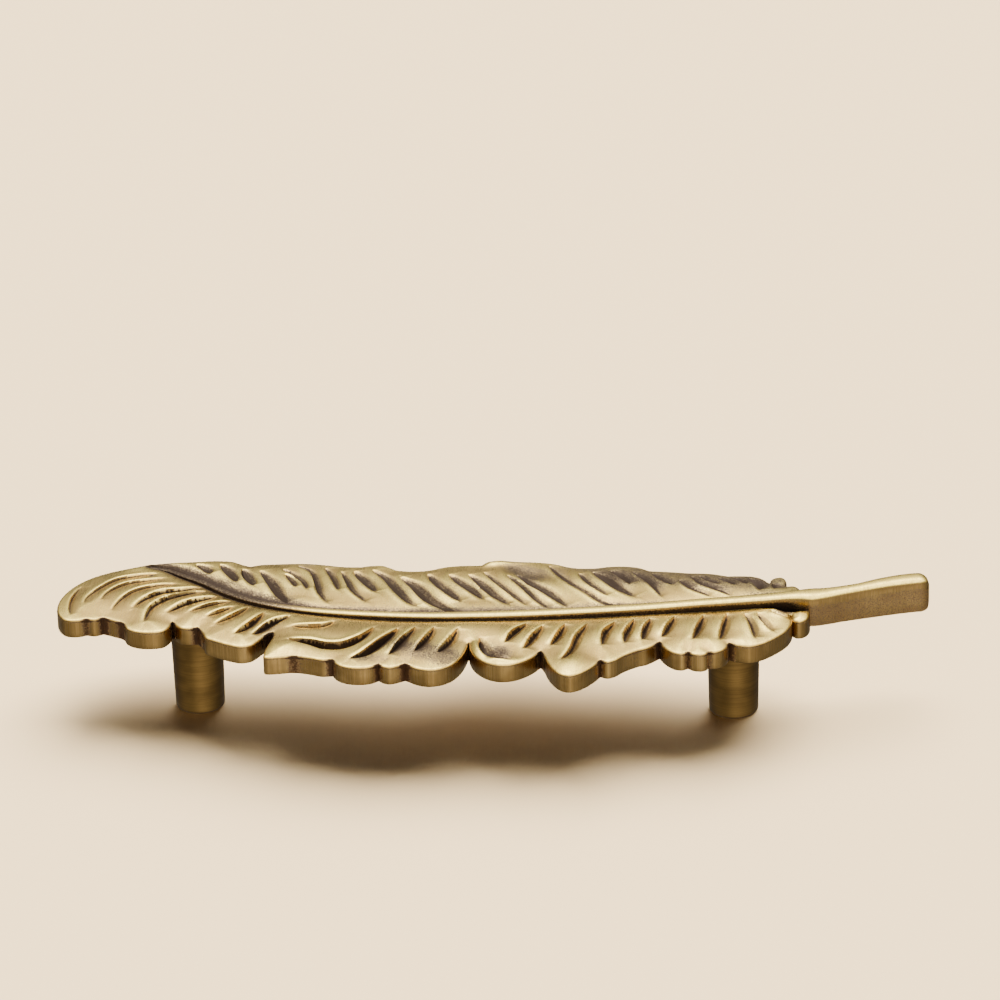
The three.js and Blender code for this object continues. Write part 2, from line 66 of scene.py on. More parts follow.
# Heights above the drawer's face, and sizes of the relief.
BACK_LEVEL = 16
RIM_LEVEL = 19.4
RIM_ROUNDING = 0.35
BACK_ROUNDING = 0.2
VANE_CREST = 0.8
VALLEY_DEPTH = 0.35
VALLEY_REACH = 1.8

# A cut is steep towards the tip, under a raised lip, and rises gently towards the root: how far each
# slope reaches, as a share of the cut's width, and how deep the face sinks beside it.
STEEP_SHARE = 0.4
GENTLE_SHARE = 1.3
SHOULDER_DEPTH = 0.42
FULL_CUT_DEPTH = 0.4
FADE_POWER = 0.55

# A painted highlight, a pale line that lightens the wax along a cut's floor: where across the cut, how far
# and how strong; and how far its lip reaches out and into the cut.
GLINT_PLACE = 0.52
GLINT_REACH = 0.22
GLINT_STRENGTH = 0.4
LIP_OUTWARD, LIP_INWARD = 0.9, 0.22

# How far from the edge the carving is at its full strength.
CARVED_FROM = 1.5
WALL_LEVELS = (17, 17.9, 18.7)

# The feather's edge, clockwise from the tip, in lobes that meet in sharp notches.
EDGE_LOBES = [
    [(-66.9, -5.5), (-68.3, -6.2), (-70.5, -6), (-72.2, -3.6), (-72.9, 0.5), (-72.1, 5.6), (-69.6, 10.4),
     (-65.8, 13.8), (-60, 16.4), (-54, 18.1), (-50, 18.9), (-46.5, 19.4), (-43.5, 19.1), (-41.4, 17.8)],
    [(-40.1, 17.1), (-38.3, 17.9), (-35, 18.3), (-31, 18.6), (-27.5, 18.3), (-23.5, 17.4)],
    [(-20, 17.3), (-18, 17.9), (-16.2, 18), (-14.6, 17.1)],
    [(-13.3, 16), (-10.5, 15.6), (-7.5, 16.1), (-4.5, 17.6), (-1.5, 18.2)],
    [(1.8, 18.3), (2.9, 19.8), (4.8, 20.5), (8, 20.1), (12.5, 19.8), (15.5, 19.1), (17.6, 18)],
    [(19.6, 17.4), (22.5, 17.5), (25, 18.2), (28, 18.4), (30.7, 17.8)],
    [(32.6, 16.5), (36, 16.2)],
    [(39.6, 15.7), (43.5, 15.5)],
    [(46.7, 14.5), (49, 14.6), (51.3, 14.4), (53, 13.4)],
    [(54.2, 11.6), (54.5, 13.2), (55.4, 14), (56.6, 14), (57.2, 12.8)],
    [(57.3, 10.2), (58.6, 10.4), (59.5, 9.6), (59.8, 7.4), (61, 3), (61.6, -1.2), (60.9, -3.6), (59.6, -4.4),
     (58.5, -3.7)],
    [(58.1, -1.4), (58.5, -4.2), (57.7, -7.6), (55.8, -10.6), (53.4, -13.2), (51.3, -14.3), (49.2, -14.1)],
    [(47.6, -13.3), (47.1, -14.9), (46.2, -16.2), (45.1, -16.8)],
    [(44.1, -16.6), (43.6, -17.5), (42.5, -17.9), (41.3, -17.6)],
    [(40.5, -16.8), (39.6, -17.5), (38.3, -17.3), (36.9, -16), (35.9, -14.3)],
    [(35.4, -13), (34.2, -14.5), (33.2, -15.5), (31.9, -16.2), (30.5, -17.3), (29.3, -18.5), (27.9, -20.3),
     (26.6, -21)],
    [(25.4, -20.4), (24.7, -22), (23, -24.6), (21.4, -26.1), (20, -26.5), (18.6, -25.8), (17.2, -23.7),
     (16.2, -21.2), (15.5, -18.8)],
    [(14.8, -17.1), (13.7, -19.1), (12.1, -21), (10.3, -22.3), (8.2, -22.7), (6.2, -22.1), (4.6, -20.7),
     (3.3, -18.8), (2.4, -16.4)],
    [(2, -14.2), (1.5, -17.6), (0.9, -20), (-0.2, -22.4), (-1.9, -24.1), (-4.2, -24.8), (-6.3, -24.2)],
    [(-8.5, -22.5), (-9.7, -23.4), (-11.2, -24), (-12.4, -23.5)],
    [(-13.1, -22.7), (-14.5, -23.9), (-16.6, -24.3), (-18.8, -23.9), (-20.4, -22.7)],
    [(-21.4, -21), (-23.2, -21.2), (-25.5, -20.4), (-28.3, -19.8), (-31, -20.3), (-33.3, -20.4),
     (-33.6, -18.3), (-33.2, -14.6), (-32.8, -11.8)],
    [(-33, -10.4), (-33.9, -11.3), (-35.1, -13.7), (-36.3, -15.6), (-38.2, -16.2), (-40.3, -15.4),
     (-42.6, -14.1), (-44.6, -12.7), (-45.4, -10.7)],
    [(-46.6, -8.7), (-47.8, -9), (-49.3, -8.9), (-50.4, -7.8)],
    [(-51.3, -6.5), (-51.6, -8.4), (-52.6, -10.2), (-54.8, -10.8), (-57.3, -10.5), (-59.1, -9.2),
     (-60.1, -7.2), (-62, -6)],
    [(-64, -5), (-65.4, -5.8)],
]

# The quill and the stem: a place on their line, then the top's height above the rim and the width.
QUILL_STATIONS = [
    ((-58.3, 16.1), 0.15, 0.9), ((-55.2, 15), 0.25, 1.0), ((-52.1, 12.7), 0.35, 1.15),
    ((-47.9, 9.6), 0.45, 1.25), ((-42.1, 4.5), 0.55, 1.4), ((-36.1, 0.9), 0.65, 1.55),
    ((-28.7, -1.6), 0.72, 1.7), ((-20, -3.1), 0.8, 1.85), ((-8, -4.1), 0.95, 2.05), ((2, -4), 1.1, 2.2),
    ((16, -2.8), 1.18, 2.35), ((32, -0.8), 1.38, 2.45), ((42, 0.8), 1.6, 2.55), ((48, 1.6), 1.75, 2.65),
    ((53.5, 2.15), 2.0, 2.8), ((57, 2.4), 2.3, 3.0), ((59.8, 2.6), 2.55, 3.7), ((61.6, 2.75), 2.6, 4.7),
    ((64.1, 3.25), 2.6, 4.0), ((66.9, 4.1), 2.65, 3.3), ((70.4, 5.3), 2.75, 3.2),
    ((74, 6.75), 2.95, 3.7), ((77.6, 8.1), 3.0, 4.1), ((80, 8.75), 3.0, 4.1), ((82.6, 9.25), 3.0, 4.1),
]
STATIONS_ON_PLATE = 18
STEM_FROM = 57
STEM_FULL = 60.5
STEM_CROWN = 1.3
STEM_END_RADIUS = 1.9

# The cuts between the barbs: kinds by width, depth and how dark their wax is, then each cut's line.
KINDS = {
    "hair": (0.55, 0.3, 0.8),
    "fine": (0.85, 0.45, 0.85),
    "broad": (1.4, 0.7, 0.95),
    "slit": (1.9, 1.2, 1),
}
FRONT_CUTS = [
    ("fine", (-69.6, 7.5), (-70.5, 3), (-70.4, -1), (-69.8, -4)),
    ("fine", (-56.3, 12.3), (-60.2, 11.2), (-63.4, 9.9), (-65.7, 7), (-67.6, 3.1), (-68.1, 0.2)),
    ("fine", (-54.9, 10.4), (-57.6, 9.4), (-61.3, 8.1), (-63.9, 5.2), (-65.2, 1.5)),
    ("fine", (-52.3, 8.1), (-56, 7.3), (-59.2, 5.4), (-61, 2.8), (-62.8, -2.5)),
    ("broad", (-47.8, 7.8), (-51, 5.9), (-54.4, 4.9), (-57.1, 2), (-58.9, -1.7)),
    ("broad", (-46.8, 5.9), (-50.2, 4.1), (-53.4, 2), (-55.5, -1.2), (-56.1, -7)),
    ("broad", (-44.4, 3.6), (-47, 2), (-49.7, 0.2), (-52.6, -3.5)),
    ("fine", (-41.8, 1.7), (-45, -0.1), (-48.6, -3.3)),
    ("fine", (-41, -1.2), (-43.1, -3), (-45.2, -5.1)),
    ("fine", (-38.1, -0.6), (-40.3, -4.3), (-43.4, -8)),
    ("broad", (-35.1, -3.6), (-36.8, -7.4), (-39.3, -11.8)),
    ("broad", (-30.3, -4.9), (-33.7, -7.7), (-36.2, -11.8)),
    ("fine", (-22.1, -6.4), (-24, -8.3), (-26.5, -8.8), (-29.8, -9)),
    ("slit", (-14.9, -9.3), (-17.1, -13.3), (-19.9, -15.8), (-22.8, -16.1), (-25.9, -14.9), (-29.9, -14.1)),
    ("slit", (-10.6, -9.6), (-13, -14.2), (-15.9, -19), (-18, -21.1)),
    ("broad", (-7.6, -9), (-9.2, -13), (-11.4, -19.6)),
    ("broad", (-4.2, -9), (-5.4, -13.3), (-7, -18.3)),
    ("broad", (0, -9.6), (-1.1, -13.3), (-2.9, -18.6)),
    ("fine", (4.9, -14.5), (6.1, -18.9), (8.3, -21.2)),
    ("broad", (12, -6.8), (9.9, -10.2), (8.6, -14.3)),
    ("broad", (14.9, -8), (13.3, -12.1), (12, -16.4)),
    ("broad", (18.8, -7.1), (17.7, -11.4), (16.6, -15.2)),
    ("broad", (22.7, -6.8), (21.1, -11.8), (20.2, -17), (18.8, -20.8)),
    ("broad", (27.5, -6.1), (25.9, -9.9), (25.6, -15.2)),
    ("broad", (30.9, -4.9), (30.2, -7.5), (29.5, -10.8), (29.5, -14)),
    ("broad", (33.8, -4.6), (32.8, -8.6), (32.5, -12.7)),
    ("broad", (38, -3.7), (37.2, -6.4), (35.9, -11.4)),
    ("broad", (43.1, -3), (42.2, -7.7), (41.4, -12.7)),
    ("broad", (47.2, -2.4), (46.6, -7), (46.1, -12.4)),
    ("broad", (50.2, -2.4), (51.3, -6.1), (52.2, -11.4)),
    ("broad", (52.5, -2.2), (53.4, -5.2), (55.3, -8.6)),
    ("slit", (53, 0.3), (57, 0.5), (61, 0.2)),
    ("fine", (54.8, -1.2), (56, -2.4), (57.5, -2.9)),
]
BACK_CUTS = [
    ("broad", (-49.7, 16.7), (-48.1, 14.9), (-46.7, 12.8)),
    ("broad", (-45.3, 17), (-44.2, 14.6), (-41.5, 9.4)),
    ("broad", (-41, 15.1), (-39.9, 11.4), (-38.2, 7.9)),
    ("broad", (-37.8, 14.5), (-35.3, 8.9), (-33.4, 4.5), (-31.5, 1.4)),
    ("fine", (-33, 12.6), (-31.6, 9.6), (-30.6, 7.3)),
    ("fine", (-33.8, 15.3), (-31.5, 12.6), (-29.6, 9.5), (-28.4, 6.4)),
    ("fine", (-31.2, 17.3), (-28.7, 14.5), (-27.4, 10.4), (-26.2, 5.4), (-24.3, 1.4)),
    ("fine", (-26.2, 16.4), (-24.6, 12), (-22.8, 6.1)),
    ("fine", (-23.1, 14.8), (-21.8, 10.4), (-20.3, 6.1), (-17.4, 1.7)),
    ("broad", (-20.7, 15.1), (-18.7, 10.4), (-15.9, 5.4)),
    ("broad", (-17.4, 15.8), (-14.6, 11.4), (-12.8, 7.3), (-10.3, 2.6), (-8.1, 0.1)),
    ("slit", (-12, 12.6), (-9.5, 8.6), (-6.4, 2.9), (-3.3, -0.2), (-1.1, -2.4)),
    ("broad", (-7.3, 14.2), (-5.4, 9.5), (-2.9, 5.4), (-0.4, 2)),
    ("broad", (-3.3, 13.6), (-1.1, 9.5), (1.1, 6.4), (3.6, 2.9)),
    ("broad", (0.3, 13.6), (2.4, 9.5), (4.9, 5.1), (8.3, 1.1)),
    ("fine", (2.8, 14.8), (5.5, 9.5), (8.3, 5.1), (11.4, 1.1)),
    ("fine", (7.1, 13.3), (9.9, 8.3), (12.7, 3.3), (15.2, 0.1)),
    ("broad", (8.8, 14.2), (11.5, 9.6), (15.1, 5.3), (18.6, 0.8)),
    ("fine", (14.3, 18.3), (16.1, 14.2), (18.6, 9.8), (21.8, 5.8), (25, 2.2), (29, 0.6)),
    ("fine", (20, 14.5), (21.9, 9.8), (25.6, 4.8)),
    ("broad", (22.5, 15.4), (24.7, 11.7), (27.2, 7.9), (30.6, 4.5)),
    ("fine", (25.6, 15.8), (27.5, 12.9), (29.4, 9.5)),
    ("hair", (29.4, 15.4), (31.9, 11.4), (35.3, 4.5)),
    ("hair", (33.1, 14.8), (34.7, 11.7), (36.9, 9.2)),
    ("hair", (38, 11.4), (40, 7.9), (43.8, 5)),
    ("hair", (40, 13.6), (41.9, 9.8), (44.4, 7.6), (47.5, 5.4)),
    ("hair", (41.6, 13.9), (43.2, 11.4), (45.4, 9.8)),
    ("hair", (45, 12.9), (46.6, 11.1), (48.1, 9.5)),
    ("hair", (47.8, 13.3), (49, 11.4), (50.3, 10)),
    ("fine", (50.5, 12.9), (51.9, 10.4), (52.7, 7.3)),
    ("hair", (54.9, 10.8), (55, 9.4), (55.2, 8)),
]

# How much narrower and shallower the front's cuts are, in the fan at the tip and what they gain
# beyond it, and how much wider the back's are.
FRONT_WIDTH, FRONT_WIDTH_GAIN = 0.62, 0.1
FRONT_DEPTH, FRONT_DEPTH_GAIN = 0.5, 0.35
FRONT_WAX, FRONT_WAX_GAIN = 0.78, 0.02
BACK_WIDTH = 1.2
BACK_WAX = 1.15
FAN_END = -52
FAN_BLEND = 14

# How high a cut's lip stands, and how far its wax spreads up the slopes.
FRONT_LIP, BACK_LIP, CURL_LIP = 0.2, 0.09, 0.2
FRONT_SPREAD, BACK_SPREAD, CURL_SPREAD = 1.5, 2.1, 1.6

# The inner edge of the rolled lobe's rim, which only the looks carve.
CURL_CUT = [(4.2, -12.6), (4.7, -15.8), (5.7, -18.2), (7.4, -19.8), (10.2, -20.5)]
CURL_WIDTH = 1.6
CURL_DEPTH = 1.0

# Gentle swells and hollows of the face: where, how far they reach along, across and turned, and how high.
SWELLS = [
    ((3.2, -17.2), 1.1, 4.6, 12, 0.5), ((6.6, -21.5), 4.2, 1.0, 8, 0.4), ((8.6, -16.6), 2.4, 3.4, 30, -0.4),
    ((4.5, 18.9), 3.6, 1.2, 12, 0.4), ((10.5, 14.6), 4.8, 2.4, -35, -0.6),
    ((-30.5, -16.5), 5, 2.6, -5, 0.2), ((20.2, -22.5), 2.6, 3, 0, 0.3), ((46, -13), 6, 2.4, 8, 0.2),
    ((58.6, 0.3), 2.6, 1.3, 10, -1.2),
]

# Patina left on the face, with painted shade in the hollows under the fold and inside the curl, behind the
# quill and over the back vane's outer part: where, how far it reaches along, across and turned, and how
# dark.
STAINS_AND_SHADE = [
    ((-50, 13.2), 6, 1.8, -38, 0.42), ((-42, 7.4), 6, 1.9, -38, 0.52), ((-33, 2.4), 7, 1.6, -18, 0.48),
    ((-12, -1.2), 16, 1.5, -3, 0.35), ((8, -0.6), 14, 1.6, 4, 0.4), ((30, 1.8), 12, 1.2, 5, 0.35),
    ((-6, -18), 8, 3.6, -25, 0.46), ((-1.5, -20.5), 4, 3.6, -35, 0.36), ((-15, -21), 6, 2, 0, 0.34),
    ((45, 11.5), 13, 4.4, -8, 0.7), ((30, 13), 7, 4, -10, 0.42), ((22, 16.5), 8, 1.8, -3, 0.3),
    ((10.5, 15.2), 6, 2.8, -32, 0.6), ((8.2, -17.4), 2.2, 3, 30, 0.42), ((-24, -14), 5, 2.4, 10, 0.1),
    ((-34, -9), 3, 3, -50, 0.2), ((54, 5), 7, 1.6, 5, 0.35), ((-66, 13.4), 9, 1.2, 25, 0.25),
    ((-30, 17.5), 14, 1.4, 2, 0.2), ((55.8, 12.8), 1.4, 1.8, 0, 0.35),
]
STAINS_AND_SHADE_LIMIT = 0.42

# The pit beside the quill's root, darkened with painted shade, and a pinhole in the casting, as patches too.
PITS = [((58.4, 0.2), 3, 1.4, 10, 1), ((-57.4, 11.2), 0.35, 0.5, 0, 1)]

# How finely the plate is meshed, in millimetres.
EDGE_STEP = 0.42
GRID_STEP = 0.27
CUT_STEP = 0.24

# How dark the thin line below the face's rounded rim is, and the painted shade on the back vane along its
# edge, which slopes away from the light.
BROW_SHADE = 0.45
BACK_EDGE_SHADE = 0.3
BACK_EDGE_REACH = 0.9

# The dark line along the quill's foot on the back and on the front side, painted shade with the patina of
# its crease: how dark, and how far.
BACK_FOOT_SHADE, FRONT_FOOT_SHADE = 0.58, 0.6
BACK_FOOT_REACH, FRONT_FOOT_REACH = 1.2, 0.9

# The quill's own shades: the haze up its flanks, the worn tip and the stem's flank.
HAZE, HAZE_GAIN = 0.7, 0.2
WORN_TIP = 0.62
TICK_SHADE = 0.78
STEM_SIDE_SHADE = 0.4
CREST_OF_QUILL = 0.55

# How bright the room is at each height, from straight down, -1, to straight up, 1.
BRIGHTEST = 5.4
BEHIND = [(-1, 0.2), (-0.2, 0.2), (0.15, 0.2), (0.45, 0.72), (0.62, 2.5), (0.82, 5.4), (1, 3.6)]
IN_FRONT = [(-1, 0.2), (-0.75, 0.3), (-0.4, 0.72), (0, 0.55), (0.5, 0.5), (1, 3.6)]

# Where the room turns from its front to its back, a brighter upright band in front, and its tint.
BACK_BLEND = 0.35
BAND_CENTRE = 0.22
BAND_REACH = 0.75
BAND_LEVEL, OFF_BAND_LEVEL = 1.6, 0.68
ROOM_TINT = (1, 0.95, 0.82, 1)

# The lamps that light only the floor: elevation, azimuth, strength and spread.
FLOOR_LAMPS = {
    "floor_lamp": (57, 20, 9.9, 56),
    "right_lamp": (50, 50, 1.25, 44),
    "left_lamp": (57, -30, 1.9, 50),
    "low_lamp": (33, 5, 2.1, 40),
    "fill": (80, 0, 0.15, 176),
}
LAMP_COLOUR = (1, 0.92, 0.79)
KEY_COLOUR = (1, 0.95, 0.88)

foot_low, foot_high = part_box("tip_post")
foot_x, foot_y = [(a + b) / 2 for a, b in zip(foot_low[:2], foot_high[:2])]
MIDDLE = Vector((foot_x + HOLE_SPACING / 2 * MM, foot_y, 0))


def smooth_line(points, step):
    """Points about a step apart on a smooth line through the given ones."""
    points = np.array(points, float)
    ends = [2 * points[0] - points[1], 2 * points[-1] - points[-2]]
    around = np.vstack([ends[0], points, ends[1]])
    fine = []
    for i in range(1, len(around) - 2):
        p0, p1, p2, p3 = around[i - 1:i + 3]
        gap = [max(np.hypot(*(b - a)), 1e-4) ** 0.5 for a, b in ((p0, p1), (p1, p2), (p2, p3))]
        t1 = (p1 - p0) / gap[0] - (p2 - p0) / (gap[0] + gap[1]) + (p2 - p1) / gap[1]
        t2 = (p2 - p1) / gap[1] - (p3 - p1) / (gap[1] + gap[2]) + (p3 - p2) / gap[2]
        t1, t2 = t1 * gap[1], t2 * gap[1]
        t = np.linspace(0, 1, 25)[:-1, None]
        fine.append((2 * t**3 - 3 * t**2 + 1) * p1 + (t**3 - 2 * t**2 + t) * t1
                    + (3 * t**2 - 2 * t**3) * p2 + (t**3 - t**2) * t2)
    fine = np.vstack(fine + [points[-1:]])
    along = np.concatenate([[0], np.cumsum(np.hypot(*np.diff(fine, axis=0).T))])
    even = np.linspace(0, along[-1], max(2, round(along[-1] / step)) + 1)
    return np.column_stack([np.interp(even, along, fine[:, k]) for k in (0, 1)])


def nearest(points, line, closed=False):
    """Each point's distance from a line of points, how far along it that is, and on which side."""
    starts = line if closed else line[:-1]
    stops = np.roll(line, -1, axis=0) if closed else line[1:]
    distance = np.full(len(points), np.inf)
    place = np.zeros(len(points))
    side = np.zeros(len(points))
    for i, (a, b) in enumerate(zip(starts, stops)):
        step = b - a
        t = np.clip((points - a) @ step / max(step @ step, 1e-12), 0, 1)
        away = points - a - t[:, None] * step
        d = np.hypot(away[:, 0], away[:, 1])
        closer = d < distance
        distance[closer] = d[closer]
        place[closer] = (i + t[closer]) / len(starts)
        side[closer] = np.sign(step[0] * away[closer, 1] - step[1] * away[closer, 0])
    return distance, place, side


def inside(points, outline):
    """Which points lie inside a closed outline."""
    result = np.zeros(len(points), bool)
    x, y = points.T
    for a, b in zip(outline, np.roll(outline, -1, axis=0)):
        if a[1] != b[1]:
            crosses = (a[1] > y) != (b[1] > y)
            result ^= crosses & (x < (b[0] - a[0]) * (y - a[1]) / (b[1] - a[1]) + a[0])
    return result


def feather_edge():
    """The whole edge, anticlockwise seen from above."""
    lobes = []
    for i, lobe in enumerate(EDGE_LOBES):
        onward = EDGE_LOBES[(i + 1) % len(EDGE_LOBES)][0]
        lobes.append(smooth_line([*lobe, onward], EDGE_STEP)[:-1])
    return np.vstack(lobes)[::-1]


def inward_normals(outline):
    """The direction into the feather at each point of its edge."""
    step = np.roll(outline, -1, axis=0) - np.roll(outline, 1, axis=0)
    step /= np.hypot(*step.T)[:, None]
    return np.column_stack([-step[:, 1], step[:, 0]])


EDGE = feather_edge()
INWARD = inward_normals(EDGE)
QUILL = smooth_line([place for place, _, _ in QUILL_STATIONS[:STATIONS_ON_PLATE]], 0.8)


def patches(points, table):
    """The sum at each point of a table's soft patches."""
    lift = np.zeros(len(points))
    for (x, y), along, across, turn, height in table:
        a = math.radians(turn)
        dx, dy = points[:, 0] - x, points[:, 1] - y
        u, v = dx * math.cos(a) + dy * math.sin(a), dy * math.cos(a) - dx * math.sin(a)
        lift += height * np.exp(-((u / along) ** 2) - (v / across) ** 2)
    return lift


def every_cut():
    """Each cut's width, depth, line, lip, how dark its wax is and how far the wax spreads."""
    cuts = [(CURL_WIDTH, CURL_DEPTH, CURL_CUT, CURL_LIP, 1, CURL_SPREAD)]
    for kind, *line in FRONT_CUTS:
        width, depth, dark = KINDS[kind]
        x = (line[0][0] + line[-1][0]) / 2
        off_fan = min(1, max(0, (x - FAN_END) / FAN_BLEND))
        width *= FRONT_WIDTH + FRONT_WIDTH_GAIN * off_fan
        depth *= FRONT_DEPTH + FRONT_DEPTH_GAIN * off_fan
        dark *= FRONT_WAX + FRONT_WAX_GAIN * off_fan
        cuts.append((width, depth, line, FRONT_LIP, dark, FRONT_SPREAD))
    for kind, *line in BACK_CUTS:
        width, depth, dark = KINDS[kind]
        cuts.append((width * BACK_WIDTH, depth, line, BACK_LIP, min(1, dark * BACK_WAX), BACK_SPREAD))
    return cuts


CUTS = every_cut()


def eased(share):
    """A share from 0 to 1 that starts and stops gently."""
    return share * share * (3 - 2 * share)


def fading(place):
    """How full a cut is along its line, from its pointed ends to its middle."""
    return np.clip(np.sin(np.pi * place), 0.02, 1) ** FADE_POWER


def carved_height(points):
    """Each point's height, how much of a cut's dark wax lies there, and how far off the edge is."""
    to_edge, _, _ = nearest(points, EDGE, closed=True)
    to_edge = np.where(inside(points, EDGE), to_edge, 0)
    to_quill, _, _ = nearest(points, QUILL)
    across = to_quill / np.maximum(to_quill + to_edge, 1e-6)
    valley = np.exp(-((to_quill / VALLEY_REACH) ** 2))
    height = RIM_LEVEL + VANE_CREST * np.sin(np.pi * across) - VALLEY_DEPTH * valley
    cut = np.zeros(len(points))
    wax = np.zeros(len(points))
    shoulder = np.zeros(len(points))
    lip = np.zeros(len(points))
    for width, deepest, line, lip_height, thick, gain in CUTS:
        path = smooth_line(line, 0.5)
        low, high = path.min(0) - 4, path.max(0) + 4
        near = np.nonzero(((points > low) & (points < high)).all(1))[0]
        distance, place, side = nearest(points[near], path)
        fade = fading(place)
        offset = distance * side + STEEP_SHARE * width / 2
        gentle = np.clip(1 - offset / (GENTLE_SHARE * width * fade), 0, 1) ** 1.2
        steep = np.clip(1 + offset / (STEEP_SHARE * width * fade), 0, 1)
        hollow = np.where(offset > 0, gentle, steep)
        cut[near] = np.maximum(cut[near], deepest * fade * hollow)
        # A painted highlight: a pale line along the cut's floor, lightening its wax.
        floor_glint = 1 - GLINT_STRENGTH * np.exp(-((offset / (width * fade) - GLINT_PLACE) / GLINT_REACH) ** 2)
        stretch = np.where(offset > 0, gain, 3 * gain)
        lies = thick * np.clip(1.6 * fade, 0, 1) * np.clip(hollow * stretch, 0, 1) ** 1.3 * floor_glint
        soft = 0.4 * thick * fade * np.exp(-((offset / (1.5 * width + 0.4)) ** 2))
        lies = np.maximum(lies, np.where(offset > 0, soft, 0))
        wax[near] = np.maximum(wax[near], lies)
        reach = np.where(offset > 0, 0.9 * width + 0.9, STEEP_SHARE * width)
        full = min(1, deepest / FULL_CUT_DEPTH)
        sunk = SHOULDER_DEPTH * full * fade
        shoulder[near] = np.maximum(shoulder[near], sunk * np.exp(-((offset / reach) ** 2)))
        beyond = offset + STEEP_SHARE * width * fade
        reach = np.where(beyond < 0, LIP_OUTWARD, LIP_INWARD)
        raised = lip_height * full * fade
        lip[near] = np.maximum(lip[near], raised * np.exp(-((beyond / reach) ** 2)))
    off_rim = eased(np.clip(to_edge / CARVED_FROM, 0, 1))
    rounded = np.clip(1 - to_edge / RIM_ROUNDING, 0, 1)
    fall = RIM_ROUNDING * (1 - np.sqrt(1 - rounded ** 2))
    return height + (patches(points, SWELLS) + lip - cut - shoulder) * off_rim - fall, wax, to_edge


def cut_points():
    """Points along each cut's lip, foot and slopes, so that the mesh follows them."""
    points = []
    for width, _, line, _, _, _ in CUTS:
        path = smooth_line(line, CUT_STEP)
        step = np.gradient(path, axis=0)
        step /= np.hypot(*step.T)[:, None]
        left = np.column_stack([-step[:, 1], step[:, 0]])
        fade = fading(np.linspace(0, 1, len(path)))
        for k in (-2 * STEEP_SHARE, -STEEP_SHARE, 0, 0.25, GLINT_PLACE, 0.75, GENTLE_SHARE):
            offset = k * width * fade - STEEP_SHARE * width / 2
            points.append((path + left * offset[:, None])[1:-1])
    return np.vstack(points)


def apart(points, others, gap):
    """Those points that keep a distance from the others."""
    tree = KDTree(len(others))
    for i, (x, y) in enumerate(others):
        tree.insert((x, y, 0), i)
    tree.balance()
    return np.array([p for p in points if tree.find((p[0], p[1], 0))[2] > gap])


def thinned(points, gap):
    """The points without those that crowd an earlier one."""
    kept, cells = [], set()
    for x, y in points:
        cell = (int(x // gap), int(y // gap))
        if cell not in cells:
            cells.add(cell)
            kept.append((x, y))
    return np.array(kept)


def blurred(raster, cells):
    """A raster smoothed by a bell of so many cells."""
    margin = int(4 * cells)
    wide = np.pad(raster, margin, mode="edge")
    turns = [np.fft.fftfreq(n) for n in wide.shape]
    bell = np.exp(-2 * (np.pi * cells) ** 2 * (turns[0][:, None] ** 2 + turns[1][None, :] ** 2))
    smooth = np.fft.ifft2(np.fft.fft2(wide) * bell).real
    return smooth[margin:-margin, margin:-margin]


def relief(points):
    """How far each point lies below the face round it, and how far above, from 0 to 1 each."""
    cell = 0.3
    low, high = EDGE.min(0) - 2, EDGE.max(0) + 2
    xs, ys = np.arange(low[0], high[0], cell), np.arange(low[1], high[1], cell)
    spots = np.array([(x, y) for y in ys for x in xs])
    height = carved_height(spots)[0].reshape(len(ys), len(xs))
    close, broad = blurred(height, 0.7 / cell) - height, blurred(height, 2.0 / cell) - height
    column, row = ((points - low) / cell).T
    c, r = column.astype(int), row.astype(int)
    u, v = column - c, row - r

    def at(raster):
        return ((raster[r, c] * (1 - u) + raster[r, c + 1] * u) * (1 - v)
                + (raster[r + 1, c] * (1 - u) + raster[r + 1, c + 1] * u) * v)

    return np.clip(at(0.5 * close + 0.5 * broad), 0, 1), np.clip(at(-2.8 * close - 1.6 * broad), 0, 1)


